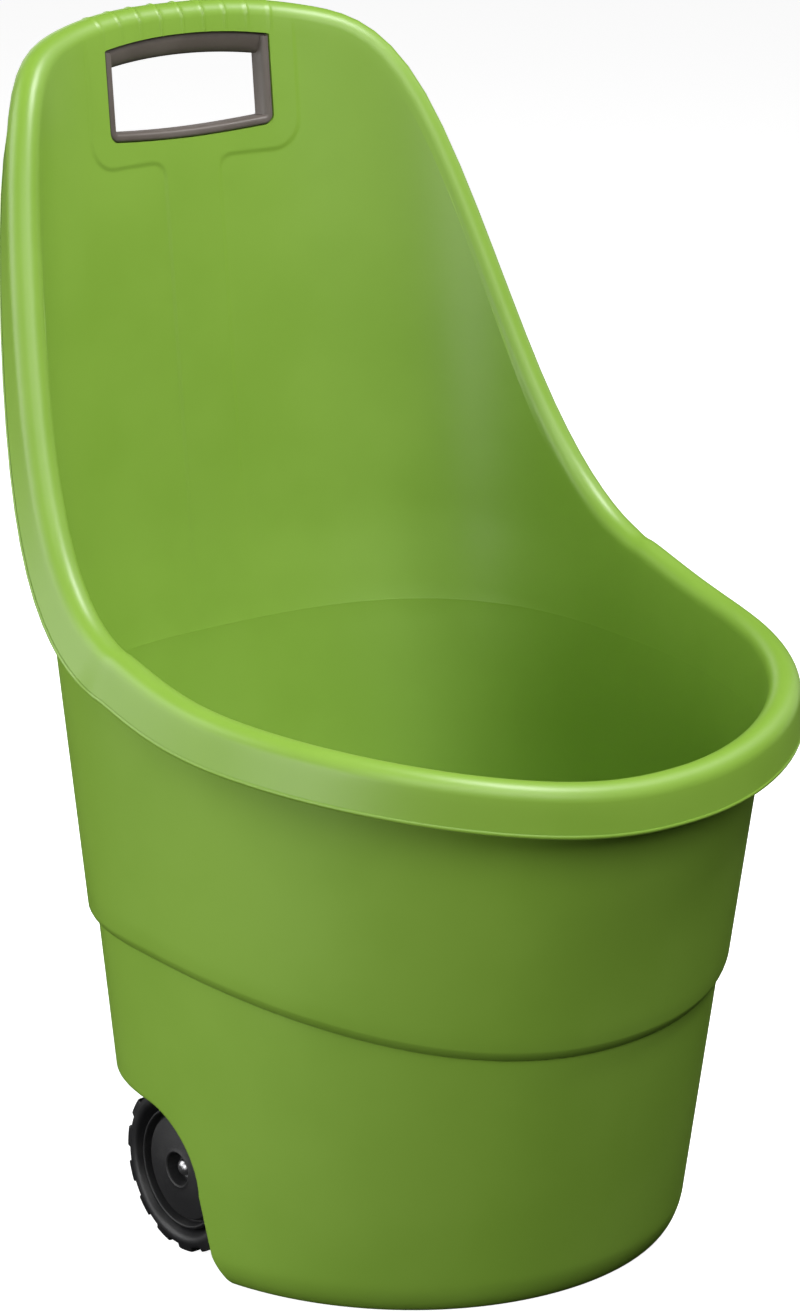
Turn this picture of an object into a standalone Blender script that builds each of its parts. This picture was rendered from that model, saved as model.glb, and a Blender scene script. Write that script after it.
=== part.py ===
"""Garden cart: a one-piece moulded tub with a high back, a two-part hand grip and two wheels on one axle.

Metres, +Z up. The low front lip faces -Y and the hand grip is at the back, +Y. The origin is on the
ground, under the middle of the outline.
"""

import math

import bmesh
import bpy
import numpy as np
from mathutils import Matrix

# Plan of the tub: a rounded outline, longer in front of the centre line than behind it
BASE_HALF_WIDTH = 0.1991
BASE_FRONT = 0.2117
BASE_BACK = 0.1214
CENTRE_Y = 0.01525
SIDE_DRAFT = 0.0541
FRONT_DRAFT = 0.1443
BACK_DRAFT = 0.1745
TUCK_HEIGHT = 0.45
SIDE_TUCK = 0.0859
BACK_TUCK = 0.0816
ROUND_FRONT_LOW = 2.02
ROUND_FRONT_HIGH = 2.34
ROUND_BACK = 2.72

# Heights
BODY_HEIGHT = 0.8332
RIM_SHARE = (0.4628, 0.4731, 0.4891, 0.5030, 0.5358, 0.6747, 0.9153, 0.9882, 1.0)
STEP_HEIGHT = 0.198
STEP_START_Y = -0.19
STEP_RISE = 0.267
STEP_BEND = 0.513
STEP_OUT = 0.0054
STEP_LIP = 0.009

# Walls and rim
WALL = 0.003
FLOOR = 0.005
BASE_ROUND = 0.0085
FLOOR_ROUND = 0.007
ROLL_DROP = 0.0039
ROLL_RADIUS = 0.0117
SKIRT_OUT = 0.0247
SKIRT_DOWN = 0.0231

# Wheels, axle and the recess that they stand in
WHEEL_RADIUS = 0.0605
AXLE_Y = 0.0395
AXLE_RADIUS = 0.004
WHEEL_INSET = 0.0196
WHEEL_FACE = BASE_HALF_WIDTH - WHEEL_INSET
WHEEL_WIDTH = 0.044
WHEEL_CLEARANCE = 0.0065
TREAD_DEPTH = 0.003
LUG_COUNT = 14
LUG_LENGTH = 0.0155
TYRE_DEPTH = 0.016
RIM_RADIUS = WHEEL_RADIUS - TYRE_DEPTH
HUB_RADIUS = 0.0135
HUB_RECESS = 0.0105
RECESS_CORNER = 0.055
LIP_WIDTH = 0.0045
ARCH_LIP = 0.0147
ARCH_FOOT = 0.0015
ARCH_DROP = 0.0092
WEB_CLEARANCE = 0.012
WEB_X = (WHEEL_FACE - WHEEL_WIDTH - WEB_CLEARANCE, 0.045)
WEB_REACH = 1.1
WEB_THICKNESS = 0.0035
BOSS_RADIUS = 0.010
BOSS_LENGTH = 0.009
WASHER_RADIUS = 0.0085
WASHER_THICKNESS = 0.0012
CAP_RADIUS = 0.0058
CAP_LENGTH = 0.0056
CAP_DOME = 0.003
CAP_TOP = 0.0018

# Hand grip
GRIP_HALF_WIDTH = 0.0735
GRIP_TOP_DROP = 0.0197
GRIP_OPENING = 0.0648
GRIP_HIGH = BODY_HEIGHT - GRIP_TOP_DROP
GRIP_LOW = GRIP_HIGH - GRIP_OPENING
GRIP_CORNER = 0.007
GRIP_TOP_BOW = 0.0057
GRIP_LOW_BOW = 0.0035
GRIP_FLANGE = 0.0036
GRIP_WALL = 0.0063
GRIP_BAR = 0.0152
GRIP_CLIP = 0.0035
GRIP_BACK = 0.012
GRIP_EDGE = 0.001
GRIP_SHOULDER = 0.8
GRIP_SLEEVE_SHARE = 0.7
GRIP_SPACING = 0.018

# How far cutters run past what they cut
PAST_SIDES = 0.31
PAST_BACK = 0.35
PAST_GROUND = -0.05
PAST_WALL = 0.010

GAP = 0.0003
COLUMNS = 80
TURNS = 40
SMALL_TURNS = 24

collection = None
cutters = None


# ---------------------------------------------------------------- scene helpers

def clear_scene():
    for item in list(bpy.data.objects):
        bpy.data.objects.remove(item, do_unlink=True)


def new_collection(name):
    made = bpy.data.collections.new(name)
    bpy.context.scene.collection.children.link(made)
    return made


def material(name, colour, roughness, metallic=0.0):
    made = bpy.data.materials.new(name)
    made.use_nodes = True
    shader = made.node_tree.nodes["Principled BSDF"]
    shader.inputs["Base Color"].default_value = (*colour, 1.0)
    shader.inputs["Roughness"].default_value = roughness
    shader.inputs["Metallic"].default_value = metallic
    made.diffuse_color = (*colour, 1.0)
    return made


def add_part(name, mesh, finish):
    part = bpy.data.objects.new(name, mesh)
    collection.objects.link(part)
    mesh.materials.clear()
    mesh.materials.append(finish)
    mesh.shade_smooth()
    mesh.set_sharp_from_angle(angle=math.radians(30))
    return part


def add_cutter(name, mesh):
    cutter = bpy.data.objects.new(name, mesh)
    cutters.objects.link(cutter)
    cutter.hide_render = True
    cutter.display_type = "WIRE"
    return cutter


def boolean(part, cutter, operation):
    step = part.modifiers.new(cutter.name, "BOOLEAN")
    step.object = cutter
    step.operation = operation
    step.solver = "EXACT"


def mesh_from(name, bm):
    bmesh.ops.recalc_face_normals(bm, faces=bm.faces)
    mesh = bpy.data.meshes.new(name)
    bm.to_mesh(mesh)
    bm.free()
    return mesh


def loft(name, rows, closed=False):
    """A skin over rows of points, each row a closed ring; the end rings are capped unless the rows close."""
    bm = bmesh.new()
    rings = [[bm.verts.new(point) for point in row] for row in rows]
    pairs = list(zip(rings, rings[1:]))
    if closed:
        pairs.append((rings[-1], rings[0]))
    for low, high in pairs:
        for i in range(len(low)):
            j = (i + 1) % len(low)
            bm.faces.new((low[i], low[j], high[j], high[i]))
    if not closed:
        bm.faces.new(rings[0])
        bm.faces.new(rings[-1])
    return mesh_from(name, bm)


def plate(name, outline, low, high, plane):
    """A flat outline, thick from low to high along the axis that plane names, 'X' or 'Y'."""
    curve = bpy.data.curves.new(name, "CURVE")
    curve.dimensions = "2D"
    curve.fill_mode = "BOTH"
    curve.extrude = (high - low) / 2
    spline = curve.splines.new("POLY")
    spline.points.add(len(outline) - 1)
    for point, (u, v) in zip(spline.points, outline):
        point.co = (u, v, 0, 1)
    spline.use_cyclic_u = True
    guide = bpy.data.objects.new(name, curve)
    cutters.objects.link(guide)
    middle = (low + high) / 2
    if plane == "X":
        guide.rotation_euler = (math.pi / 2, 0, math.pi / 2)
        guide.location = (middle, 0, 0)
    else:
        guide.rotation_euler = (math.pi / 2, 0, 0)
        guide.location = (0, middle, 0)
    bpy.context.view_layer.update()
    evaluated = guide.evaluated_get(bpy.context.evaluated_depsgraph_get())
    mesh = bpy.data.meshes.new_from_object(evaluated)
    mesh.transform(guide.matrix_world)
    bpy.data.objects.remove(guide)
    bm = bmesh.new()
    bm.from_mesh(mesh)
    bmesh.ops.remove_doubles(bm, verts=bm.verts, dist=0.00001)
    bmesh.ops.recalc_face_normals(bm, faces=bm.faces)
    bm.to_mesh(mesh)
    bm.free()
    return mesh


def turned(part, steps):
    """Turns the part's profile, drawn at +X, about its own Z axis."""
    screw = part.modifiers.new("turn", "SCREW")
    screw.axis = "Z"
    screw.steps = steps
    screw.render_steps = steps
    screw.use_merge_vertices = True
    screw.merge_threshold = 0.00002
    return screw


def profile_mesh(name, points, closed):
    mesh = bpy.data.meshes.new(name)
    count = len(points)
    edges = [(i, i + 1) for i in range(count - 1)]
    if closed:
        edges.append((count - 1, 0))
    mesh.from_pydata([(x, 0, z) for x, z in points], edges, [])
    return mesh


def arc(centre, radius, start, end, count):
    """Points of a circular arc, angles in degrees, both ends included."""
    angles = np.radians(np.linspace(start, end, count))
    return [(centre[0] + radius * math.cos(a), centre[1] + radius * math.sin(a)) for a in angles]


# ---------------------------------------------------------------- tub surface

THETA = np.linspace(-math.pi, math.pi, COLUMNS, endpoint=False)


def signed_power(value, power):
    return np.sign(value) * np.abs(value) ** power


def wall_point(theta, z, inset=0.0, step=1.0):
    """The tub wall at angle theta and height z: a rounded outline that widens upwards and steps out."""
    z = z + 0.0 * theta
    tuck = np.maximum(z - TUCK_HEIGHT, 0)
    side = BASE_HALF_WIDTH + SIDE_DRAFT * z + step * STEP_OUT - SIDE_TUCK * tuck - inset
    front = BASE_FRONT + FRONT_DRAFT * z + step * STEP_OUT - inset
    back = BASE_BACK + BACK_DRAFT * z + step * STEP_OUT - BACK_TUCK * tuck - inset
    share = np.clip(z / TUCK_HEIGHT, 0, 1)
    round_front = ROUND_FRONT_LOW * (1 - share) + ROUND_FRONT_HIGH * share
    forward = np.cos(theta) > 0
    length = np.where(forward, front, back)
    power = 2 / np.where(forward, round_front, ROUND_BACK)
    x = side * signed_power(np.sin(theta), power)
    y = CENTRE_Y - length * signed_power(np.cos(theta), power)
    return np.stack([x, y, z], axis=-1)


def rim_height(theta):
    """Height of the wall's top edge: a smooth cubic through evenly spaced heights from front to back."""
    heights = np.array(RIM_SHARE) * BODY_HEIGHT
    last = len(heights) - 1
    system = np.eye(last + 1)
    right = np.zeros(last + 1)
    for i in range(1, last):
        system[i, i - 1: i + 2] = (1, 4, 1)
        right[i] = 3 * (heights[i + 1] - heights[i - 1])
    slopes = np.linalg.solve(system, right)
    place = np.abs(theta) / math.pi * last
    i = np.minimum(place.astype(int), last - 1)
    t = place - i
    return ((1 + 2 * t) * (1 - t) ** 2 * heights[i] + t * (1 - t) ** 2 * slopes[i]
            + t * t * (3 - 2 * t) * heights[i + 1] - t * t * (1 - t) * slopes[i + 1])


def step_height(theta):
    """Height of the step in the wall, which rises towards the back."""
    y = wall_point(theta, STEP_HEIGHT, step=0.0)[:, 1] - STEP_START_Y
    return STEP_HEIGHT + STEP_RISE * y - STEP_BEND * y * y


def unit(vectors):
    return vectors / np.linalg.norm(vectors, axis=-1, keepdims=True)


def rim_frame(theta):
    """The wall's top edge, its outward normal, and the direction in the wall away from the opening."""
    small = 0.002
    z = rim_height(theta)
    edge = wall_point(theta, z)
    ahead = wall_point(theta + small, rim_height(theta + small))
    behind = wall_point(theta - small, rim_height(theta - small))
    along = unit(ahead - behind)
    around = wall_point(theta + small, z) - wall_point(theta - small, z)
    rise = wall_point(theta, z + small) - wall_point(theta, z - small)
    normal = unit(np.cross(around, rise))
    centre = np.array([0, CENTRE_Y, 0])
    side = np.sum(normal[:, :2] * (edge - centre)[:, :2], axis=1)
    normal = normal * np.where(side < 0, -1, 1)[:, None]
    away = unit(np.cross(along, normal))
    away = away * np.where(away[:, 2] > 0, -1, 1)[:, None]
    return edge, normal, away


def rim_profile():
    """The rolled rim and its skirt, as (out, up) offsets from the wall's top edge, outer skin first."""
    centre = (ROLL_RADIUS - WALL, -ROLL_DROP)
    edge = (SKIRT_OUT, -SKIRT_DOWN)
    # the skirt leaves the roll along their common tangent
    gap = (edge[0] - centre[0], edge[1] - centre[1])
    distance = math.hypot(*gap)
    tangent = math.atan2(gap[1], gap[0]) + math.acos(ROLL_RADIUS / distance)
    turn = math.degrees(tangent)
    outer = arc(centre, ROLL_RADIUS, 180, turn, 6)
    inner = arc(centre, ROLL_RADIUS - WALL, turn, 180, 5)
    inner_edge = (edge[0] - WALL * math.cos(tangent), edge[1] - WALL * math.sin(tangent))
    return outer + [edge, inner_edge] + inner


def tub_rows():
    """Rings of the tub from the middle of its floor, up inside, over the rim and down outside."""
    rim = rim_height(THETA)
    step = step_height(THETA)
    rows = []
    for x, z in arc((WALL + FLOOR_ROUND, FLOOR + FLOOR_ROUND), FLOOR_ROUND, 270, 180, 4):
        rows.append(wall_point(THETA, z, x, 0.0))
    rows.append(wall_point(THETA, step - STEP_LIP / 2, WALL, 0.0))
    rows.append(wall_point(THETA, step + STEP_LIP / 2, WALL, 1.0))
    low = step + STEP_LIP / 2
    top = rim - ROLL_DROP
    for share in (0.15, 0.3, 0.45, 0.6, 0.75, 0.88):
        rows.append(wall_point(THETA, low + share * (top - low), WALL))
    edge, normal, away = rim_frame(THETA)
    for out, up in rim_profile():
        rows.append(edge + out * normal - up * away)
    for share in (0.88, 0.75, 0.6, 0.45, 0.3, 0.15):
        rows.append(wall_point(THETA, low + share * (top - low)))
    for drop, out in ((1.0, 1.0), (0.35, 0.85), (0.0, 0.35), (-0.15, 0.0)):
        rows.append(wall_point(THETA, step + drop * STEP_LIP, 0.0, out))
    rows.append(wall_point(THETA, step * 0.5, 0.0, 0.0))
    for x, z in arc((BASE_ROUND, BASE_ROUND), BASE_ROUND, 180, 270, 4):
        rows.append(wall_point(THETA, z, x, 0.0))
    return rows


# ---------------------------------------------------------------- wheel recess

def recess_top():
    return 2 * WHEEL_RADIUS + WHEEL_CLEARANCE


def recess_outline(offset):
    """Side view of the recess over the wheels: an upright front wall, a round corner and a flat top."""
    front = AXLE_Y - WHEEL_RADIUS - WHEEL_CLEARANCE - offset
    top = recess_top() + offset
    corner = RECESS_CORNER + offset
    points = [(front, PAST_GROUND)]
    points += arc((front + corner, top - corner), corner, 180, 90, 10)
    points += [(PAST_BACK, top), (PAST_BACK, PAST_GROUND)]
    return points


def arch_outline():
    """Side view of the arch cut in the outer wall: smaller than the recess, with a leaning front edge."""
    recess_front = AXLE_Y - WHEEL_RADIUS - WHEEL_CLEARANCE
    front = recess_front + ARCH_LIP
    top = recess_top() - ARCH_DROP
    centre = (front + RECESS_CORNER, top - RECESS_CORNER)
    points = [(recess_front + ARCH_FOOT, PAST_GROUND), (recess_front + ARCH_FOOT, 0.0)]
    points += arc(centre, RECESS_CORNER, 180, 90, 10)
    points += [(PAST_BACK, top), (PAST_BACK, PAST_GROUND)]
    return points


def web_outline():
    """Side view of a web that carries the axle: from the recess's corner down round the axle."""
    front = AXLE_Y - WHEEL_RADIUS - WHEEL_CLEARANCE
    top = recess_top()
    reach = AXLE_Y + WEB_REACH * WHEEL_RADIUS
    bite = WALL / 2
    corner = RECESS_CORNER + bite
    points = [(front - bite, WHEEL_RADIUS - BOSS_RADIUS)]
    points += arc((front + RECESS_CORNER, top - RECESS_CORNER), corner, 180, 90, 7)
    points += [(reach, top + bite)]
    points += arc((AXLE_Y, WHEEL_RADIUS), BOSS_RADIUS, 30, -90, 7)
    return points


def cylinder(name, radius, low, high, segments):
    """A cylinder along X on the axle's line, from low to high."""
    bm = bmesh.new()
    bmesh.ops.create_cone(bm, cap_ends=True, segments=segments, radius1=radius, radius2=radius,
                          depth=high - low)
    mesh = mesh_from(name, bm)
    turn = bpy.data.objects.new(name + "_turn", None)
    turn.rotation_euler = (0, math.pi / 2, 0)
    turn.location = ((low + high) / 2, AXLE_Y, WHEEL_RADIUS)
    mesh.transform(turn.matrix_basis)
    bpy.data.objects.remove(turn)
    return mesh


def recess_core():
    """The tub's lower part filled to the middle of its wall, which the recess walls are cut to."""
    middle = WALL / 2
    rows = []
    for x, z in arc((BASE_ROUND, BASE_ROUND), BASE_ROUND - middle, 270, 180, 4):
        rows.append(wall_point(THETA, z, x, 0.0))
    rows.append(wall_point(THETA, recess_top() + 4 * WALL, middle, 0.0))
    return loft("core", rows)


def add_recess(tub):
    core = add_cutter("core", recess_core())
    walls = plate("recess_walls", recess_outline(WALL), -PAST_SIDES, PAST_SIDES, "X")
    hump = add_cutter("recess_walls", walls)
    boolean(hump, core, "INTERSECT")
    boolean(tub, hump, "UNION")
    half = BASE_HALF_WIDTH - LIP_WIDTH
    inside = plate("recess", recess_outline(0.0), -half, half, "X")
    boolean(tub, add_cutter("recess", inside), "DIFFERENCE")
    arch = plate("arch", arch_outline(), -PAST_SIDES, PAST_SIDES, "X")
    boolean(tub, add_cutter("arch", arch), "DIFFERENCE")


def add_webs(tub):
    places = [side * x for x in WEB_X for side in (-1, 1)]
    for i, x in enumerate(places):
        half = WEB_THICKNESS / 2
        web = plate(f"web_{i}", web_outline(), x - half, x + half, "X")
        boolean(tub, add_cutter(f"web_{i}", web), "UNION")
        half = BOSS_LENGTH / 2
        boss = cylinder(f"boss_{i}", BOSS_RADIUS, x - half, x + half, 24)
        boolean(tub, add_cutter(f"boss_{i}", boss), "UNION")
    reach = WEB_X[0] + BOSS_LENGTH
    hole = cylinder("axle_hole", AXLE_RADIUS + GAP, -reach, reach, SMALL_TURNS)
    boolean(tub, add_cutter("axle_hole", hole), "DIFFERENCE")


# ---------------------------------------------------------------- hand grip

def grip_corners(count):
    """The hand-grip opening's four round corners seen from the front, as (x, z)."""
    half = GRIP_HALF_WIDTH
    r = GRIP_CORNER
    points = arc((half - r, GRIP_LOW + r), r, -90, 0, count)
    points += arc((half - r, GRIP_HIGH - r), r, 0, 90, count)
    points += arc((r - half, GRIP_HIGH - r), r, 90, 180, count)
    points += arc((r - half, GRIP_LOW + r), r, 180, 270, count)
    return points


def back_wall_y(x, z):
    """Where the outside of the back wall is, at (x, z)."""
    tuck = max(z - TUCK_HEIGHT, 0)
    side = BASE_HALF_WIDTH + SIDE_DRAFT * z + STEP_OUT - SIDE_TUCK * tuck
    back = BASE_BACK + BACK_DRAFT * z + STEP_OUT - BACK_TUCK * tuck
    return CENTRE_Y + back * (1 - (abs(x) / side) ** ROUND_BACK) ** (1 / ROUND_BACK)


def grip_path():
    """Points along the opening's edge: its long sides are split finely and bulge away from the middle."""
    outline = grip_corners(5)
    middle = (GRIP_LOW + GRIP_HIGH) / 2
    points = []
    for a, b in zip(outline, outline[1:] + outline[:1]):
        length = math.hypot(b[0] - a[0], b[1] - a[1])
        parts = max(1, round(length / GRIP_SPACING))
        points += [(a[0] + (b[0] - a[0]) * k / parts, a[1] + (b[1] - a[1]) * k / parts) for k in range(parts)]
    bowed = []
    for x, z in points:
        swell = 1 - (x / GRIP_HALF_WIDTH) ** 2
        bow = GRIP_TOP_BOW if z > middle else -GRIP_LOW_BOW
        bowed.append((x, z + bow * swell))
    return bowed


def grip_rows(section):
    """Rings of a frame round the opening: section(top) gives (out, back) points, top is 1 at the bar."""
    points = grip_path()
    count = len(points)
    middle = (GRIP_LOW + GRIP_HIGH) / 2
    rows = []
    for i, (x, z) in enumerate(points):
        before = points[i - 1]
        after = points[(i + 1) % count]
        run = (after[0] - before[0], after[1] - before[1])
        length = math.hypot(*run)
        out = (run[1] / length, -run[0] / length)
        top = 1.0 if z > middle and out[1] > 0.7 else 0.0
        row = []
        for p, q in section(top):
            u, v = x + p * out[0], z + p * out[1]
            row.append((u, back_wall_y(u, v) + q, v))
        rows.append(row)
    return rows


def front_section(top):
    """The sleeve through the opening, level with the wall's inner face; deeper at the top, as a bar."""
    inner = -GAP - GRIP_WALL - top * (GRIP_BAR - GRIP_WALL)
    shoulder = GRIP_SHOULDER
    return [(-GAP, GRIP_EDGE - WALL), (-GAP, GRIP_BACK), (inner * shoulder, GRIP_BACK),
            (inner, GRIP_BACK * GRIP_SLEEVE_SHARE), (inner, GRIP_EDGE - WALL), (inner * shoulder, -WALL),
            (-GAP - GRIP_EDGE, -WALL)]


def rear_section(top):
    """The clip ring behind the wall, round the sleeve."""
    return [(0.0, GAP), (GRIP_FLANGE, GAP), (GRIP_FLANGE, GRIP_CLIP), (0.0, GRIP_BACK * GRIP_SLEEVE_SHARE)]


def make_grip(finish):
    add_part("grip_front", loft("grip_front", grip_rows(front_section), True), finish)
    add_part("grip_rear", loft("grip_rear", grip_rows(rear_section), True), finish)


def make_tub(finish):
    tub = add_part("tub", loft("tub", tub_rows()), finish)
    add_recess(tub)
    add_webs(tub)
    middle = (GRIP_LOW + GRIP_HIGH) / 2
    far = back_wall_y(0, middle) + PAST_WALL
    near = back_wall_y(GRIP_HALF_WIDTH, middle) - 2 * PAST_WALL
    hole = plate("grip_hole", grip_path(), near, far, "Y")
    boolean(tub, add_cutter("grip_hole", hole), "DIFFERENCE")


# ---------------------------------------------------------------- wheels

def wheel_stack():
    """Distances from the middle of the cart, along the axle, of what the wheel is held between."""
    boss = WEB_X[0] + BOSS_LENGTH / 2
    hub_in = boss + WASHER_THICKNESS + 2 * GAP
    hub_out = WHEEL_FACE - HUB_RECESS
    cap = hub_out + WASHER_THICKNESS + 2 * GAP
    return {"inner_washer": boss + GAP, "hub_in": hub_in, "hub_out": hub_out,
            "outer_washer": hub_out + GAP, "cap": cap, "cap_end": cap + CAP_LENGTH}


def disc_profile():
    """Half section of the wheel's disc as (radius, out): lip, dished face, recessed hub, open inner side."""
    stack = wheel_stack()
    rim = RIM_RADIUS
    inner = WHEEL_FACE - WHEEL_WIDTH + 0.004
    bore = AXLE_RADIUS + GAP
    face = WHEEL_FACE
    wall = 0.0025
    return [(rim - wall, face - 0.0035), (rim - 0.0008, face - 0.0030), (rim, face - 0.0042), (rim, inner),
            (rim - wall, inner), (rim - wall, face - 0.012), (HUB_RADIUS + 0.002, face - 0.0075),
            (HUB_RADIUS - 0.001, face - 0.010), (HUB_RADIUS - 0.002, stack["hub_in"]),
            (bore, stack["hub_in"]), (bore, stack["hub_out"]), (HUB_RADIUS - 0.0015, stack["hub_out"]),
            (HUB_RADIUS - 0.001, face - 0.001), (HUB_RADIUS, face), (HUB_RADIUS + 0.0015, face - 0.0005),
            (rim - 0.0075, face - 0.0055), (rim - 0.0045, face - 0.0065)]


def tyre_profile():
    """Half section of the tyre ring as (radius, out): tread, rounded shoulder, open groove at the disc."""
    tread = WHEEL_RADIUS - TREAD_DEPTH
    inner = WHEEL_FACE - WHEEL_WIDTH
    bore = RIM_RADIUS + GAP
    face = WHEEL_FACE
    wall = 0.003
    return [(bore, face - 0.0085), (bore + 0.0012, face - 0.0080), (bore + 0.0045, face - 0.0020),
            (bore + 0.0065, face), (tread - 0.0035, face), (tread - 0.0012, face - 0.0015),
            (tread, face - 0.0045),
            (tread, inner + 0.003), (tread - 0.003, inner), (tread - wall - 0.001, inner + 0.001),
            (tread - wall, face - 0.0075), (bore + wall + 0.004, face - 0.0095), (bore + wall, face - 0.013),
            (bore + wall, inner + 0.002), (bore, inner + 0.002)]


def lugs(name):
    """Blocks round the tread, one straight below the axle."""
    bm = bmesh.new()
    bite = 0.0015
    low = WHEEL_RADIUS - TREAD_DEPTH - bite
    width = WHEEL_WIDTH - 0.008
    for i in range(LUG_COUNT):
        block = bmesh.ops.create_cube(bm, size=1.0)["verts"]
        bmesh.ops.scale(bm, vec=(WHEEL_RADIUS - low, LUG_LENGTH, width), verts=block)
        bmesh.ops.translate(bm, vec=((WHEEL_RADIUS + low) / 2, 0, -WHEEL_WIDTH / 2), verts=block)
        angle = 2 * math.pi * i / LUG_COUNT
        bmesh.ops.rotate(bm, cent=(0, 0, 0), verts=block, matrix=Matrix.Rotation(angle, 3, "Z"))
    return mesh_from(name, bm)


def outward(part, side, out):
    """Stands a turned piece on the axle: its own Z points away from the cart, its origin is out on X."""
    part.rotation_euler = (0, side * math.pi / 2, 0)
    part.location = (side * out, AXLE_Y, WHEEL_RADIUS)


def on_axle(name, profile, side, finish, steps):
    """A turned piece whose profile gives distances from the cart's middle, with its origin at the face."""
    shifted = [(radius, out - WHEEL_FACE) for radius, out in profile]
    part = add_part(name, profile_mesh(name, shifted, shifted[0][0] > 0), finish)
    turned(part, steps)
    outward(part, side, WHEEL_FACE)
    return part


def ring_profile(inner, outer, low, high):
    return [(outer, high), (outer, low), (inner, low), (inner, high)]


def cap_profile():
    """Half section of the push-on cap: a dome with a blind bore over the axle's end."""
    stack = wheel_stack()
    dome = arc((0, 0), 1.0, 90, 0, 7)
    height = CAP_DOME
    base = stack["cap_end"] - height
    bore = AXLE_RADIUS + GAP
    points = [(CAP_RADIUS * x, base + height * z) for x, z in dome]
    points += [(CAP_RADIUS, stack["cap"]), (bore, stack["cap"])]
    points += [(bore, stack["cap_end"] - CAP_TOP), (0, stack["cap_end"] - CAP_TOP)]
    return points


def make_wheel(word, side, disc_finish, tyre_finish, steel, bright):
    stack = wheel_stack()
    on_axle(f"wheel_disc_{word}", disc_profile(), side, disc_finish, TURNS)
    tyre = on_axle(f"tyre_{word}", tyre_profile(), side, tyre_finish, 3 * LUG_COUNT)
    block = add_cutter(f"lugs_{word}", lugs(f"lugs_{word}"))
    outward(block, side, WHEEL_FACE)
    boolean(tyre, block, "UNION")
    bore = AXLE_RADIUS + GAP
    for place in ("inner_washer", "outer_washer"):
        low = stack[place]
        ring = ring_profile(bore, WASHER_RADIUS, low, low + WASHER_THICKNESS)
        on_axle(f"{place}_{word}", ring, side, steel, SMALL_TURNS)
    on_axle(f"axle_cap_{word}", cap_profile(), side, bright, SMALL_TURNS)


def make_axle(finish):
    end = wheel_stack()["cap_end"] - CAP_TOP - GAP
    bm = bmesh.new()
    bmesh.ops.create_cone(bm, cap_ends=True, segments=SMALL_TURNS, radius1=AXLE_RADIUS, radius2=AXLE_RADIUS,
                          depth=2 * end)
    axle = add_part("axle", mesh_from("axle", bm), finish)
    axle.rotation_euler = (0, math.pi / 2, 0)
    axle.location = (0, AXLE_Y, WHEEL_RADIUS)
    return axle


def main():
    global collection, cutters
    clear_scene()
    collection = new_collection("garden_cart")
    cutters = new_collection("cutters")
    green = material("green_plastic", (0.235, 0.42, 0.055), 0.45)
    taupe = material("taupe_plastic", (0.115, 0.095, 0.085), 0.5)
    black = material("black_plastic", (0.018, 0.018, 0.019), 0.55)
    tread = material("tyre_plastic", (0.02, 0.02, 0.021), 0.45)
    steel = material("axle_steel", (0.55, 0.56, 0.57), 0.35, 1.0)
    bright = material("cap_steel", (0.75, 0.75, 0.76), 0.2, 1.0)
    make_tub(green)
    make_grip(taupe)
    make_axle(steel)
    for word, side in (("left", -1), ("right", 1)):
        make_wheel(word, side, black, tread, steel, bright)


main()
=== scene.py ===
# %% [markdown]
# # A garden cart
#
# The real cart is almost all one moulding: a green tub with a rolled rim and a high back. A two-part
# grip clips into its back wall, and two black wheels turn on a steel axle under the raised rear floor.
#
# The frame that is loaded first says where each part is and which part moves. This lesson makes the
# fine surfaces around it. Nearly every one is a formula worked out on a whole grid of points at once.

import math

import bmesh
import bpy
import numpy as np
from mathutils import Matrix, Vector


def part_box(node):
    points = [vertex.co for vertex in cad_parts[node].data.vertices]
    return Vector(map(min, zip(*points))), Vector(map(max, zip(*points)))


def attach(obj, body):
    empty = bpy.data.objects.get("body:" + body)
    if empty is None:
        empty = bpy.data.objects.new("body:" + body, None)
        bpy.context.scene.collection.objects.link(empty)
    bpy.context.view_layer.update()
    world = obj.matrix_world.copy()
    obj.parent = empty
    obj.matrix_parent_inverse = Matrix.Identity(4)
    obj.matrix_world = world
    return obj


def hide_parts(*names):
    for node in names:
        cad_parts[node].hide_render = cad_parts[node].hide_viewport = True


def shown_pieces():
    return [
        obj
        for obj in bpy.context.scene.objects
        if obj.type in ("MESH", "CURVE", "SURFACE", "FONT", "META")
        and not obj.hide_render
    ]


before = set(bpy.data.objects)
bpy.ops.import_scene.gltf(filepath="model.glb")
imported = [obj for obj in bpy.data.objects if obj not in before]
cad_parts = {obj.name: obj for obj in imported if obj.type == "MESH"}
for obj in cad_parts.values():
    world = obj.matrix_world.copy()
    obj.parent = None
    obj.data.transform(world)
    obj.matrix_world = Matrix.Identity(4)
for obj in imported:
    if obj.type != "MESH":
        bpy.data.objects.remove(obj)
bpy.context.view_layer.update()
tub_low, tub_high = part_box("tub")
print("tub", [round(float(b - a), 4) for a, b in zip(tub_low, tub_high)])

# %% [markdown]
# ## Shapes as grids
#
# A grid of points becomes a skin by joining each point to its neighbours. Two helpers do this for
# every part: one joins rows into quads, the other makes the mesh and checks that it faces outwards.


# %% From a grid to a mesh
def quads(row_count, column_count, rows_close):
    """Corner numbers of the quads between neighbouring rows; every row is a closed ring."""
    last = row_count if rows_close else row_count - 1
    row, column = np.meshgrid(np.arange(last), np.arange(column_count), indexing="ij")
    below = (row + 1) % row_count
    beside = (column + 1) % column_count
    corners = [row * column_count + column, row * column_count + beside,
               below * column_count + beside, below * column_count + column]
    return np.stack(corners, axis=-1).reshape(-1, 4)


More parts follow.
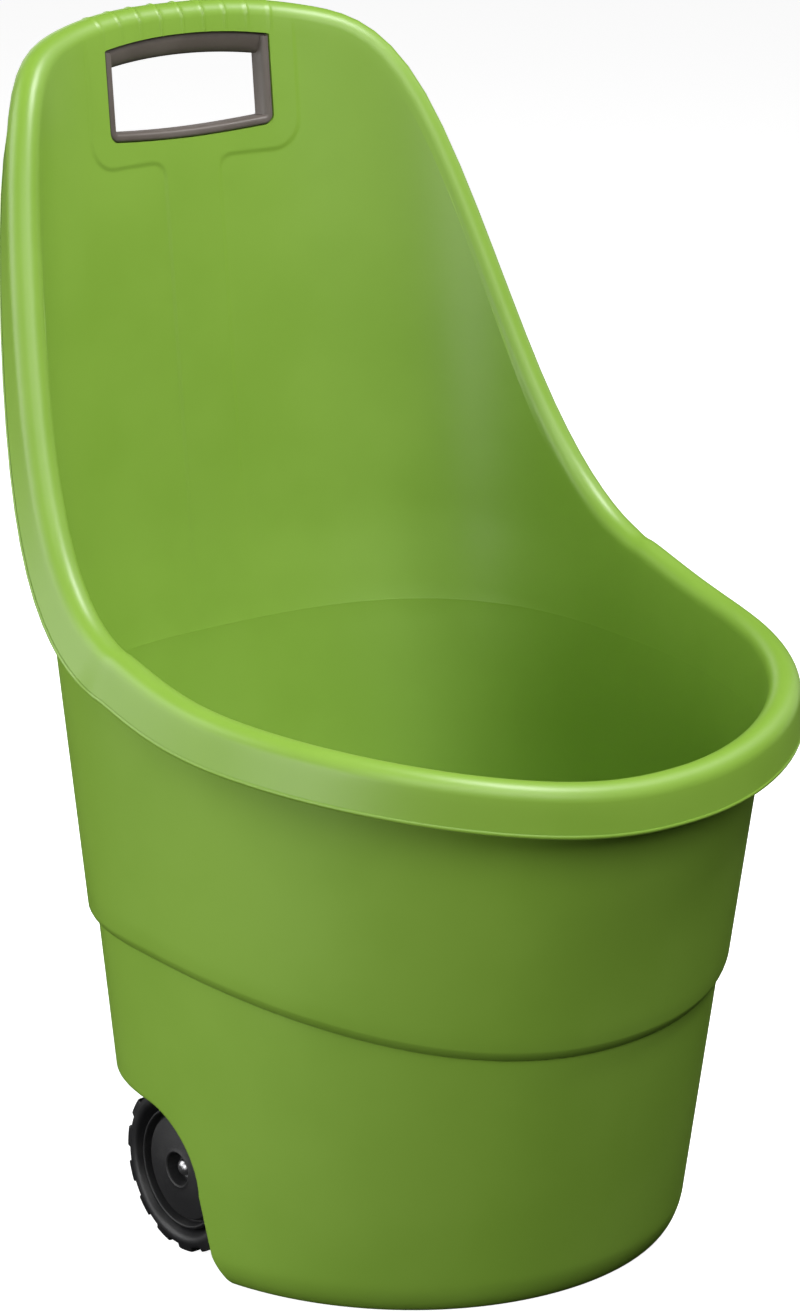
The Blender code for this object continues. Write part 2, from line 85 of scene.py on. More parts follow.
def mesh_from(name, vertices, faces):
    """A mesh with doubled points merged and its faces pointing out."""
    mesh = bpy.data.meshes.new(name)
    mesh.from_pydata(vertices, [], faces)
    work = bmesh.new()
    work.from_mesh(mesh)
    bmesh.ops.remove_doubles(work, verts=work.verts, dist=1e-6)
    bmesh.ops.recalc_face_normals(work, faces=work.faces)
    work.to_mesh(mesh)
    work.free()
    return mesh


def skin(name, rows, rows_close=False):
    """A closed skin over rows of points; the end rows are filled unless the rows close on themselves."""
    grid = np.stack(rows)
    count, around = grid.shape[:2]
    faces = quads(count, around, rows_close).tolist()
    if not rows_close:
        faces.append(list(range(around)))
        faces.append(list(range((count - 1) * around, count * around)))
    return mesh_from(name, grid.reshape(-1, 3).tolist(), faces)


def arc(centre, radius, start, end, count):
    """Points of an arc as (first, second) pairs, angles in degrees, both ends included."""
    angle = np.radians(np.linspace(start, end, count))
    return np.stack([centre[0] + radius * np.cos(angle), centre[1] + radius * np.sin(angle)], axis=-1)


def smooth(value):
    """0 below 0, 1 above 1, and an even S between them: three squares less two cubes."""
    t = np.clip(value, 0, 1)
    return t * t * (3 - 2 * t)


# %% [markdown]
# ## The tub's wall
#
# Seen from above, the tub is a rounded outline, longer to the front than to the back. A rounded
# outline is a circle whose sine and cosine are raised to a power below one. The wall leans outwards
# as it rises. Above the middle the back leans out less and the sides lean slightly in. One function
# says where the wall is at any angle and height, and nearly every other shape on the tub asks it.

# %% The wall as a function of angle and height
BASE_HALF_WIDTH = 0.1991
BASE_FRONT = 0.2117
BASE_BACK = 0.1214
CENTRE_Y = 0.01525
SIDE_DRAFT = 0.0541
FRONT_DRAFT = 0.1443
BACK_DRAFT = 0.1745
TUCK_HEIGHT = 0.45
SIDE_TUCK = 0.0859
BACK_TUCK = 0.0816
ROUND_FRONT_LOW = 2.02
ROUND_FRONT_HIGH = 2.34
ROUND_BACK = 2.72
WALL = 0.003
STEP_OUT = 0.0054


def signed_power(value, power):
    return np.sign(value) * np.abs(value) ** power


def wall_point(theta, z, inset=0.0, step=1.0):
    """Wall point at angle theta (0 is the front) and height z.

    It is moved in by inset and out by a share of the step.
    """
    z = z + 0.0 * theta
    tuck = np.maximum(z - TUCK_HEIGHT, 0)
    out = step * STEP_OUT - inset
    side = BASE_HALF_WIDTH + SIDE_DRAFT * z - SIDE_TUCK * tuck + out
    front = BASE_FRONT + FRONT_DRAFT * z + out
    back = BASE_BACK + BACK_DRAFT * z - BACK_TUCK * tuck + out
    share = np.clip(z / TUCK_HEIGHT, 0, 1)
    round_front = ROUND_FRONT_LOW * (1 - share) + ROUND_FRONT_HIGH * share
    forward = np.cos(theta) > 0
    power = 2 / np.where(forward, round_front, ROUND_BACK)
    x = side * signed_power(np.sin(theta), power)
    y = CENTRE_Y - np.where(forward, front, back) * signed_power(np.cos(theta), power)
    return np.stack([x, y, z], axis=-1)


# %% [markdown]
# Points at even angles would crowd at the corners and thin out in the middle of the back, just where
# the grip's fine ribs are. So the angles are chosen by length along the wall, with a weight that
# packs them closer at the ribs and at the edge of the wheel arch.

# %% Angles where the wall is sampled
COLUMNS = 416
TRIAL_ANGLES = 40001
HIGH_LINE = 0.78
LOW_LINE = 0.06
PANEL_HALF_WIDTH = 0.093
PANEL_MARGIN = 0.022
ARCH_MARGIN_FRONT = 0.055
ARCH_MARGIN_BACK = 0.05
FINE_AT_PANEL = 6.0
FINE_AT_ARCH = 5.0


def stations(count):
    """Angles at equal steps of weighted length along the wall at mid height."""
    theta = np.linspace(-math.pi, math.pi, TRIAL_ANGLES)
    high = wall_point(theta, HIGH_LINE)
    low = wall_point(theta, LOW_LINE)
    middle = wall_point(theta, TUCK_HEIGHT)
    behind = high[:, 1] > CENTRE_Y
    panel = behind * smooth((PANEL_HALF_WIDTH + PANEL_MARGIN - np.abs(high[:, 0])) / 0.01)
    arch = smooth((low[:, 1] + ARCH_MARGIN_FRONT) / 0.01) * smooth((ARCH_MARGIN_BACK - low[:, 1]) / 0.03)
    weight = 1 + FINE_AT_PANEL * panel + FINE_AT_ARCH * arch
    length = np.linalg.norm(np.diff(middle, axis=0), axis=1) * (weight[1:] + weight[:-1]) / 2
    travelled = np.concatenate([[0], np.cumsum(length)])
    return np.interp(np.linspace(0, travelled[-1], count, endpoint=False), travelled, theta)


THETA = stations(COLUMNS)
around_back = wall_point(THETA, HIGH_LINE)[:, 0]
print("finest column", round(float(np.min(np.abs(np.diff(around_back[:8])))) * 1000, 2), "mm")

# %% [markdown]
# ## The rim
#
# The top edge swoops from a low front lip up to the high back. Its height is a smooth curve through
# nine heights, evenly spaced in angle from front to back. The edge itself rolls outwards into a tube
# and ends in a hanging skirt with a small bead. The roll is one profile, carried round the edge.

# %% Rim height and rim directions
BODY_HEIGHT = 0.8332
RIM_SHARE = (0.4628, 0.4731, 0.4891, 0.5030, 0.5358, 0.6747, 0.9153, 0.9882, 1.0)


def rim_height(theta):
    """Height of the wall's top edge: a cubic spline through RIM_SHARE, level at the front and the back."""
    heights = np.array(RIM_SHARE) * BODY_HEIGHT
    last = len(heights) - 1
    system = np.eye(last + 1)
    right = np.zeros(last + 1)
    for i in range(1, last):
        system[i, i - 1: i + 2] = (1, 4, 1)
        right[i] = 3 * (heights[i + 1] - heights[i - 1])
    slopes = np.linalg.solve(system, right)
    place = np.abs(theta) / math.pi * last
    i = np.minimum(place.astype(int), last - 1)
    t = place - i
    return ((1 + 2 * t) * (1 - t) ** 2 * heights[i] + t * (1 - t) ** 2 * slopes[i]
            + t * t * (3 - 2 * t) * heights[i + 1] - t * t * (1 - t) * slopes[i + 1])


def unit(vectors):
    return vectors / np.linalg.norm(vectors, axis=-1, keepdims=True)


def rim_frame(theta):
    """The wall's top edge, its outward normal, and the direction down the wall across the edge."""
    small = 0.002
    z = rim_height(theta)
    edge = wall_point(theta, z)
    along = unit(wall_point(theta + small, rim_height(theta + small))
                 - wall_point(theta - small, rim_height(theta - small)))
    around = wall_point(theta + small, z) - wall_point(theta - small, z)
    rise = wall_point(theta, z + small) - wall_point(theta, z - small)
    normal = unit(np.cross(around, rise))
    side = np.sum(normal[:, :2] * (edge - np.array([0, CENTRE_Y, 0]))[:, :2], axis=1)
    normal = normal * np.where(side < 0, -1, 1)[:, None]
    away = unit(np.cross(along, normal))
    away = away * np.where(away[:, 2] > 0, -1, 1)[:, None]
    return edge, normal, away


# %% The rolled profile
ROLL_DROP = 0.0039
ROLL_RADIUS = 0.0117
SKIRT_OUT = 0.0247
SKIRT_DOWN = 0.0231
BEAD = 0.0009


def rim_profile():
    """Offsets (out, up) from the wall's edge: over the roll, down the skirt, round its bead and back."""
    centre = np.array([ROLL_RADIUS - WALL, -ROLL_DROP])
    edge = np.array([SKIRT_OUT, -SKIRT_DOWN])
    gap = edge - centre
    tangent = math.atan2(gap[1], gap[0]) + math.acos(ROLL_RADIUS / math.hypot(*gap))
    turn = math.degrees(tangent)
    outer = arc(centre, ROLL_RADIUS, 180, turn, 18)
    inner = arc(centre, ROLL_RADIUS - WALL, turn, 180, 9)
    out = np.array([math.cos(tangent), math.sin(tangent)])
    inner_edge = edge - WALL * out
    skirt = [outer[-1] + share * (edge - outer[-1]) for share in (0.25, 0.5, 0.75, 0.92, 0.97)]
    swell = BEAD * 0.45
    bead = arc(edge - (WALL / 2 - swell) * out, WALL / 2 + swell, turn + 40, turn - 180, 9)
    under = [inner_edge + share * (inner[0] - inner_edge) for share in (0.06, 0.3, 0.6)]
    return outer, np.array(skirt), bead, np.array(under), inner


# %% [markdown]
# ## Fine relief at the grip
#
# Round the grip the inner face carries a faint raised panel that narrows to a strip running down the
# back. Nine small ribs cross the roll above it, so that a hand doesn't slip. The panel is drawn as a
# distance: negative inside its outline, positive outside. A step in that distance is the relief.

# %% Panel and ribs
PANEL_LOW = 0.730
PANEL_TOP = 0.826
PANEL_TOP_BOW = 0.009
PANEL_CORNER = 0.022
STRIP_HALF_WIDTH = 0.0245
PANEL_STEP = 0.0008
PANEL_STEP_WIDTH = 0.0024
PANEL_BLEND = 0.012
FADE_REACH = 0.035
FADE_FOOT = 0.36
FADE_RISE = 0.25
RIB_PITCH = 0.0189
RIB_COUNT = 9
RIB_HALF_WIDTH = 0.0009
RIB_HEIGHT = 0.0009


def panel_top(x):
    """Height of the panel's top edge: a parabola that follows the rim above it."""
    return PANEL_TOP - PANEL_TOP_BOW * (x / PANEL_HALF_WIDTH) ** 2


def panel_distance(x, z):
    """Distance outside the panel with its strip: a rounded box and a band, joined with soft inner corners."""
    across = np.abs(x) - PANEL_HALF_WIDTH + PANEL_CORNER
    down = PANEL_LOW - z + PANEL_CORNER
    box = np.hypot(np.maximum(across, 0), np.maximum(down, 0)) - PANEL_CORNER
    box = box + np.minimum(np.maximum(across, down), 0)
    box = np.maximum(box, z - panel_top(x))
    strip = np.maximum(np.abs(x) - STRIP_HALF_WIDTH, z - panel_top(x))
    near = np.maximum(PANEL_BLEND - np.abs(box - strip), 0) / PANEL_BLEND
    return np.minimum(box, strip) - near * near * PANEL_BLEND / 4


def panel_relief(x, z):
    """How far the inner face drops outside the panel: a soft step that fades with distance and downwards."""
    d = panel_distance(x, z)
    fade = np.exp(-np.maximum(d, 0) / FADE_REACH) * smooth((z - FADE_FOOT) / FADE_RISE)
    return PANEL_STEP * smooth(d / PANEL_STEP_WIDTH + 0.5) * fade


def ribs(x):
    """Height of the ribs across the roll: a row of narrow bells at an even pitch."""
    place = x / RIB_PITCH
    nearest = np.clip(np.round(place), -(RIB_COUNT // 2), RIB_COUNT // 2)
    return RIB_HEIGHT * np.exp(-((x - nearest * RIB_PITCH) / RIB_HALF_WIDTH) ** 2)


# %% [markdown]
# ## The wheel arch
#
# The rear of the tub stands clear of the ground to make room for the wheels. The arch is cut through
# the wall, and the wall rolls inwards just before the cut, so the edge looks soft. The roll needs the
# distance from any point of the wall to the arch: that of a quarter plane with one round corner.

# %% Sizes of the recess, taken from the wheels
tyre_low, tyre_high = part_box("tyre_left")
WHEEL_RADIUS = float(tyre_high[2] - tyre_low[2]) / 2
AXLE_Y = float(tyre_low[1] + tyre_high[1]) / 2
WHEEL_FACE = -float(tyre_low[0])
WHEEL_WIDTH = float(tyre_high[0] - tyre_low[0])
WHEEL_CLEARANCE = 0.0065
RECESS_CORNER = 0.055
LIP_WIDTH = 0.0055
ARCH_LIP = 0.0147
ARCH_FOOT = 0.0015
ARCH_DROP = 0.0092
TURN_REACH = 0.0022
TURN_BEHIND = 0.0036
TURN_BEHIND_START = 0.02
TURN_BEHIND_RUN = 0.07
TURN_AT_FOOT = 0.007
TURN_FOOT_HEIGHT = 0.022
TURN_PAST_EDGE = 0.0015
TURN_SOFTNESS = 1.2
recess_front = AXLE_Y - WHEEL_RADIUS - WHEEL_CLEARANCE
recess_top = 2 * WHEEL_RADIUS + WHEEL_CLEARANCE
arch_front = recess_front + ARCH_LIP
arch_top = recess_top - ARCH_DROP
corner_height = arch_top - RECESS_CORNER
lean = (ARCH_LIP - ARCH_FOOT) / corner_height
print("wheel radius", round(WHEEL_RADIUS, 4), "arch top", round(arch_top, 4))


def arch_distance(y, z):
    """Distance outside the arch: to a quarter plane with a round corner, its front edge leaning below it."""
    front = arch_front - lean * np.maximum(corner_height - z, 0)
    ahead = front - y + RECESS_CORNER
    above = z - arch_top + RECESS_CORNER
    outside = np.hypot(np.maximum(ahead, 0), np.maximum(above, 0))
    return outside + np.minimum(np.maximum(ahead, above), 0) - RECESS_CORNER


def arch_roll(y, z):
    """How far the wall turns in near the arch: a parabola in the distance, wider behind and at the foot."""
    behind = smooth((y - TURN_BEHIND_START) / TURN_BEHIND_RUN)
    foot = smooth((TURN_FOOT_HEIGHT - z) / TURN_FOOT_HEIGHT)
    reach = TURN_REACH + TURN_BEHIND * behind + TURN_AT_FOOT * foot
    d = np.maximum(arch_distance(y, z), -TURN_PAST_EDGE)
    return np.maximum(reach - d, 0) ** 2 / (TURN_SOFTNESS * reach)


# %% [markdown]
# ## The tub in two solids
#
# The outside of the tub, with its rim and the upper inner wall, is one closed skin. The space inside
# is a second one. Taking the second from the first leaves the wall. The raised rear floor comes free:
# a block in the shape of the recess is taken from the inside space before it is subtracted.

# %% Rows of the outer skin, from inside over the rim to the base
STEP_HEIGHT = 0.198
STEP_START_Y = -0.19
STEP_RISE = 0.267
STEP_BEND = 0.513
STEP_LIP = 0.0085
STEP_POWER = 1.4
BASE_ROUND = 0.0105
BASE_RISE = 0.024
MOULD_LINE = 0.380
MOULD_LEAN = 0.049
MOULD_HALF_WIDTH = 0.001
MOULD_RIDGE = ((-MOULD_HALF_WIDTH, 0), (-0.0004, 0.00006), (0, 0.0001), (0.0004, 0.00006),
               (MOULD_HALF_WIDTH, 0))
SILL_RISE = 0.006
FINE_ROWS_FROM = 0.745
DENSE_TOP = 0.140


def step_height(theta):
    """Height of the step in the wall: a parabola in y that climbs from the front and levels off behind."""
    y = wall_point(theta, STEP_HEIGHT, step=0.0)[:, 1] - STEP_START_Y
    return STEP_HEIGHT + STEP_RISE * y - STEP_BEND * y * y


def towards_middle(ring, shares):
    """Rings shrunk towards the middle of the tub, to close a skin without one huge face."""
    centre = np.array([0, CENTRE_Y, float(np.mean(ring[:, 2]))])
    return [centre + share * (ring - centre) for share in shares]


def inner_wall(z, inset=WALL):
    """The inner face at height z with the panel's relief and the lower ends of the ribs."""
    plain = wall_point(THETA, z, inset)
    behind = plain[:, 1] > CENTRE_Y + 0.05
    relief = behind * panel_relief(plain[:, 0], plain[:, 2])
    rib = behind * ribs(plain[:, 0]) * smooth((plain[:, 2] - panel_top(plain[:, 0])) / 0.003)
    return wall_point(THETA, z, inset - relief + rib)


step_line = step_height(THETA)
mould_line = MOULD_LINE + MOULD_LEAN * wall_point(THETA, MOULD_LINE)[:, 1]
rim_line = rim_height(THETA)
edge, normal, away = rim_frame(THETA)
roll_start = rim_line - ROLL_DROP / np.maximum(away[:, 2], 0.3)
sill = step_line + STEP_LIP + SILL_RISE
rows = towards_middle(wall_point(THETA, sill, WALL), (0.15, 0.5, 0.85, 0.98))
for share in np.linspace(0, 1, 10)[:-1]:
    rows.append(inner_wall(sill + share * (mould_line - MOULD_HALF_WIDTH - sill)))
for off, height in MOULD_RIDGE:
    rows.append(inner_wall(mould_line + off, WALL + height))
start = mould_line + MOULD_HALF_WIDTH
shares = np.concatenate([np.linspace(0, FINE_ROWS_FROM, 20)[1:], np.linspace(FINE_ROWS_FROM, 1, 76)[1:-1]])
for share in shares:
    rows.append(inner_wall(start + share * (roll_start - start)))

behind = (edge[:, 1] > CENTRE_Y + 0.05) * ribs(edge[:, 0])
roll, skirt, bead, under, inner = rim_profile()
roll_centre = np.array([ROLL_RADIUS - WALL, -ROLL_DROP])
for k, (out, up) in enumerate(roll):
    grow = 1 + behind / ROLL_RADIUS * smooth((15 - k) / 3)
    out = roll_centre[0] + (out - roll_centre[0]) * grow
    up = roll_centre[1] + (up - roll_centre[1]) * grow
    rows.append(edge + out[:, None] * normal - up[:, None] * away)
for out, up in np.concatenate([skirt, bead, under, inner]):
    rows.append(edge + out * normal - up * away)
for share in np.linspace(1, 0, 15)[1:-1]:
    rows.append(wall_point(THETA, step_line + STEP_LIP + share * (roll_start - step_line - STEP_LIP)))
for turn in np.radians(np.linspace(90, 0, 9)):
    rows.append(wall_point(THETA, step_line + STEP_LIP * (1 - math.cos(turn) ** STEP_POWER), 0.0,
                           math.sin(turn) ** STEP_POWER))
for share in (0.97, 0.9, 0.7, 0.45, 0.2):
    rows.append(wall_point(THETA, DENSE_TOP + share * (step_line - DENSE_TOP), 0.0, 0.0))


def low_wall(z, inset=0.0):
    """The wall below the step, turned in towards the arch."""
    plain = wall_point(THETA, z, 0.0, 0.0)
    return wall_point(THETA, z, inset + arch_roll(plain[:, 1], plain[:, 2]), 0.0)


for z in np.linspace(DENSE_TOP, BASE_RISE, 80)[:-1]:
    rows.append(low_wall(z))
for inset, z in arc((BASE_ROUND, BASE_ROUND), BASE_ROUND, 180, 270, 17):
    rows.append(low_wall(z * BASE_RISE / BASE_ROUND, inset))
outside = skin("tub_outside", rows)
print("outer skin", len(outside.vertices), "points in", len(rows), "rows")

# %% [markdown]
# A Boolean keeps what is outside or inside another solid. The manifold solver is fast on big meshes
# as long as every solid is closed, which these are. Each cutter is a skin or a straight prism.

# %% Cutting tools
PAST_BACK = 0.35
UNDER_GROUND = -0.05


def solid(name, mesh):
    """An object in the scene made only to be cut or to cut."""
    made = bpy.data.objects.new(name, mesh)
    bpy.context.scene.collection.objects.link(made)
    return made


def combine(part, tool, operation):
    """Applies a Boolean to part and removes the tool."""
    change = part.modifiers.new("cut", "BOOLEAN")
    change.object = tool
    change.operation = operation
    change.solver = "MANIFOLD"
    bpy.context.view_layer.update()
    result = bpy.data.meshes.new_from_object(part.evaluated_get(bpy.context.evaluated_depsgraph_get()))
    part.modifiers.clear()
    part.data = result
    bpy.data.objects.remove(tool)


def prism(name, outline, low, high, axis):
    """A flat outline in the other two axes, z last, thick from low to high along axis 'X' or 'Y'."""
    outline = np.asarray(outline)
    rings = []
    for depth in (low, high):
        depth = np.full(len(outline), depth)
        if axis == "X":
            rings.append(np.stack([depth, outline[:, 0], outline[:, 1]], axis=-1))
        else:
            rings.append(np.stack([outline[:, 0], depth, outline[:, 1]], axis=-1))
    return solid(name, skin(name, rings))


def side_outline(front, foot, top, corner):
    """Side view of the recess or the arch: foot, round upper corner, flat top that runs out behind."""
    curve = arc((front + corner, top - corner), corner, 180, 90, 25)
    return np.concatenate([[(foot, UNDER_GROUND), (foot, 0.0)], curve,
                           [(PAST_BACK, top), (PAST_BACK, UNDER_GROUND)]])


# %% The space inside
FLOOR = 0.005
FLOOR_ROUND = 0.007
CORNER_TOP = 0.012
RAISED_FOOT = 0.016
RECESS_REACH = 0.3
ARCH_REACH = 0.31
rows = []
for inset, z in arc((WALL + FLOOR_ROUND, FLOOR + FLOOR_ROUND), FLOOR_ROUND, 270, 180, 7):
    rows.append(wall_point(THETA, z, inset, 0.0))
for share in (0.2, 0.4, 0.6, 0.8, 0.97):
    rows.append(wall_point(THETA, CORNER_TOP + share * (step_line - CORNER_TOP), WALL, 0.0))
for turn in np.radians((10, 30, 50, 70, 90)):
    z = step_line + STEP_LIP * (1 - max(math.cos(turn), 0) ** STEP_POWER)
    rows.append(wall_point(THETA, z, WALL + 0.00005, math.sin(turn) ** STEP_POWER))
rows.append(wall_point(THETA, sill + 0.0003, WALL + 0.00005))
rows += towards_middle(wall_point(THETA, sill + 0.004, WALL + 0.004), (1.0, 0.8, 0.4, 0.1))
room = solid("room", skin("room", rows))
thick = side_outline(recess_front - WALL, recess_front - RAISED_FOOT, recess_top + WALL, RECESS_CORNER + WALL)
combine(room, prism("raised_floor", thick, -RECESS_REACH, RECESS_REACH, "X"), "DIFFERENCE")
tub = solid("tub_moulding", outside)
combine(tub, room, "DIFFERENCE")
print("tub with its inside cut out:", len(tub.data.polygons), "faces")

# %% The wheel recess and the arch
lip = [wall_point(THETA, z, LIP_WIDTH, 0.0) for z in (-0.01, 0.05, 0.1, 0.16)]
recess = solid("recess", skin("recess", lip))
box = side_outline(recess_front, recess_front, recess_top, RECESS_CORNER)
combine(recess, prism("recess_box", box, -RECESS_REACH, RECESS_REACH, "X"), "INTERSECT")
combine(tub, recess, "DIFFERENCE")
arch = side_outline(arch_front, recess_front + ARCH_FOOT, arch_top, RECESS_CORNER)
combine(tub, prism("arch", arch, -ARCH_REACH, ARCH_REACH, "X"), "DIFFERENCE")

# %% Webs that carry the axle
WEB_X = (0.1235, 0.045)
WEB_THICKNESS = 0.0035
BOSS_RADIUS = 0.010
BOSS_LENGTH = 0.009
AXLE_RADIUS = 0.004
AXLE_HOLE_REACH = 0.14
WEB_BACK = 1.1
GAP = 0.0003


def rod(name, radius, low, high, count=48):
    """A straight round bar along X on the axle's line."""
    return prism(name, arc((AXLE_Y, WHEEL_RADIUS), radius, 0, 360, count + 1)[:-1], low, high, "X")


bite = WALL / 2
web = np.concatenate([[(recess_front - bite, WHEEL_RADIUS - BOSS_RADIUS)],
                      arc((recess_front + RECESS_CORNER, recess_top - RECESS_CORNER),
                          RECESS_CORNER + bite, 180, 90, 13),
                      [(AXLE_Y + WEB_BACK * WHEEL_RADIUS, recess_top + bite)],
                      arc((AXLE_Y, WHEEL_RADIUS), BOSS_RADIUS, 30, -90, 13)])
for x in [side * place for place in WEB_X for side in (-1, 1)]:
    combine(tub, prism("web", web, x - WEB_THICKNESS / 2, x + WEB_THICKNESS / 2, "X"), "UNION")
    combine(tub, rod("boss", BOSS_RADIUS, x - BOSS_LENGTH / 2, x + BOSS_LENGTH / 2), "UNION")
combine(tub, rod("axle_hole", AXLE_RADIUS + GAP, -AXLE_HOLE_REACH, AXLE_HOLE_REACH), "DIFFERENCE")
print("tub with recess and webs:", len(tub.data.polygons), "faces")

# %% [markdown]
# ## The grip
#
# The grip lines an opening in the back wall. Its front half is a sleeve with a round front edge about
# level with the wall's inner face, and a fat bar across the top, where the fingers pull. The rear half
# is a plain ring that clips round the sleeve behind the wall. Each is one section carried round the
# opening, and the bar is a section of its own carried from side to side.

# %% The opening and the path round it
GRIP_HALF_WIDTH = 0.0735
GRIP_LOW = 0.7487
GRIP_HIGH = 0.8135
GRIP_CORNER = 0.007
GRIP_TOP_CORNER = 0.0015
GRIP_TOP_BOW = 0.0057
GRIP_LOW_BOW = 0.0035
PATH_STEP = 0.004
HOLE_FRONT = 0.02
HOLE_BACK = 0.01


def opening_corners(count):
    """Points of the opening's four round corners seen from the front as (x, z), the top ones sharper."""
    half = GRIP_HALF_WIDTH
    r = GRIP_CORNER
    t = GRIP_TOP_CORNER
    return np.concatenate([arc((half - r, GRIP_LOW + r), r, -90, 0, count),
                           arc((half - t, GRIP_HIGH - t), t, 0, 90, count),
                           arc((t - half, GRIP_HIGH - t), t, 90, 180, count),
                           arc((r - half, GRIP_LOW + r), r, 180, 270, count)])


def bow(x, z):
    """How far the opening's long edges bulge away from its middle: parabolas across the width."""
    swell = 1 - (x / GRIP_HALF_WIDTH) ** 2
    return np.where(z > (GRIP_LOW + GRIP_HIGH) / 2, GRIP_TOP_BOW, -GRIP_LOW_BOW) * swell


def back_wall_y(x, z):
    """Where the outer face of the back wall is at (x, z)."""
    tuck = np.maximum(z - TUCK_HEIGHT, 0)
    side = BASE_HALF_WIDTH + SIDE_DRAFT * z + STEP_OUT - SIDE_TUCK * tuck
    back = BASE_BACK + BACK_DRAFT * z + STEP_OUT - BACK_TUCK * tuck
    return CENTRE_Y + back * (1 - (np.abs(x) / side) ** ROUND_BACK) ** (1 / ROUND_BACK)


def path_round():
    """Points round the opening, its straights split evenly and then bowed, with their outward directions."""
    outline = opening_corners(9)
    points = []
    for a, b in zip(outline, np.roll(outline, -1, axis=0)):
        parts = max(1, round(float(np.linalg.norm(b - a)) / PATH_STEP))
        points += [a + (b - a) * k / parts for k in range(parts)]
    points = np.array(points)
    points[:, 1] += bow(points[:, 0], points[:, 1])
    run = unit(np.roll(points, -1, axis=0) - np.roll(points, 1, axis=0))
    out = np.stack([run[:, 1], -run[:, 0]], axis=-1)
    return points, out


GRIP_TOP_SINK = 0.0035
GRIP_BAR_SINK = 0.0012
GRIP_BAR_LEAN = 0.005


def carry_round(section):
    """Rows of a ring: each section point (out, back) goes to every path point, on the wall's curve.

    Along the top the front of the ring is sunk into the wall.
    """
    points, out = path_round()
    sink = GRIP_TOP_SINK * smooth((out[:, 1] - 0.3) / 0.5)
    rows = []
    for p, q in section:
        flat = points + p * out
        y = back_wall_y(flat[:, 0], flat[:, 1]) + q + sink * (q < 0)
        rows.append(np.stack([flat[:, 0], y, flat[:, 1]], axis=-1))
    return rows


hole = prism("grip_hole", path_round()[0], back_wall_y(GRIP_HALF_WIDTH, GRIP_LOW) - HOLE_FRONT,
             back_wall_y(0.0, GRIP_HIGH) + HOLE_BACK, "Y")
combine(tub, hole, "DIFFERENCE")

# %% Front sleeve with its bar
GRIP_SLEEVE = 0.0066
GRIP_DEEP = 0.012
GRIP_BAR_DROP = 0.0155
GRIP_BAR_ROUND = 0.7
middle = -(GRIP_SLEEVE + GAP) / 2
half = (GRIP_SLEEVE - GAP) / 2
turn = np.radians(np.linspace(0, 180, 15))
crest = np.stack([middle + half * np.cos(turn), 0.0006 - WALL - 0.0010 * np.sin(turn) ** 0.85], axis=-1)
crest[:, 1] += 0.0020 * np.cos(turn) ** 6
back_round = arc((middle, GRIP_DEEP - half), half, 180, 0, 11)
section = np.concatenate([crest, [(-GRIP_SLEEVE, 0.003)], back_round, [(-GAP, 0.004)]])
grip = solid("grip_frame", skin("grip_frame", carry_round(section), True))


def bar_rows():
    """The top bar from side to side: a rounded section on the wall's curve, its front leaning back below."""
    x = np.linspace(-GRIP_HALF_WIDTH + 0.001, GRIP_HALF_WIDTH - 0.001, 49)
    angle = np.linspace(0, 2 * math.pi, 40, endpoint=False)
    high = GRIP_HIGH - GAP - 0.0001
    low = GRIP_HIGH - GRIP_BAR_DROP - GAP
    level = (high + low) / 2 + (high - low) / 2 * signed_power(np.sin(angle), GRIP_BAR_ROUND)
    depth = signed_power(np.cos(angle), GRIP_BAR_ROUND)
    front = GRIP_BAR_SINK - WALL + GRIP_BAR_LEAN * (high - level) / (high - low)
    back = GRIP_DEEP - 0.0002
    middle = (front + back) / 2
    rows = []
    for place in x:
        z = level + bow(place, GRIP_HIGH)
        y = back_wall_y(place, z) + middle + (back - middle) * depth
        rows.append(np.stack([np.full_like(z, place), y, z], axis=-1))
    return rows


bar = skin("grip_bar", bar_rows())
combine(grip, solid("grip_bar", bar), "UNION")

# %% Rear ring
GRIP_FLANGE = 0.0036
clip = np.array([(GAP / 2, GAP), (GRIP_FLANGE - 0.0006, GAP), (GRIP_FLANGE, GAP + 0.0006),
                 (GRIP_FLANGE, 0.0026), (GRIP_FLANGE - 0.0005, 0.0036), (0.0012, 0.0080),
                 (0.0007, 0.0084), (GAP / 2, 0.0084)])
clip_ring = solid("grip_clip", skin("grip_clip", carry_round(clip), True))
print("grip", len(grip.data.polygons), "faces")

# %% [markdown]
# ## Wheels
#
# A wheel is turned on a lathe in the mind: a half section spun about the axle. The tread isn't round,
# so its radius is a function of the angle and of the place across the tyre. Two rows of lugs are set
# half a pitch apart, which leaves stepped notches between them.

# %% A section spun about the axle
def turned(name, profile, side, steps, grow=None):
    """Spins (radius, out) points about the axle on one side; grow(angle, radius, out) adds to the radius."""
    profile = np.asarray(profile, dtype=float)
    angle = np.linspace(0, 2 * math.pi, steps, endpoint=False)
    rows = []
    for radius, out in profile:
        r = radius + (0 if grow is None else grow(angle, radius, out))
        y = AXLE_Y + r * np.cos(angle)
        z = WHEEL_RADIUS + r * np.sin(angle)
        rows.append(np.stack([np.full(steps, side * out), y, z], axis=-1))
    on_axis = profile[0][0] < 1e-6 and profile[-1][0] < 1e-6
    if on_axis:
        faces = quads(len(rows), steps, False).tolist()
        return mesh_from(name, np.stack(rows).reshape(-1, 3).tolist(), faces)
    return skin(name, rows, True)


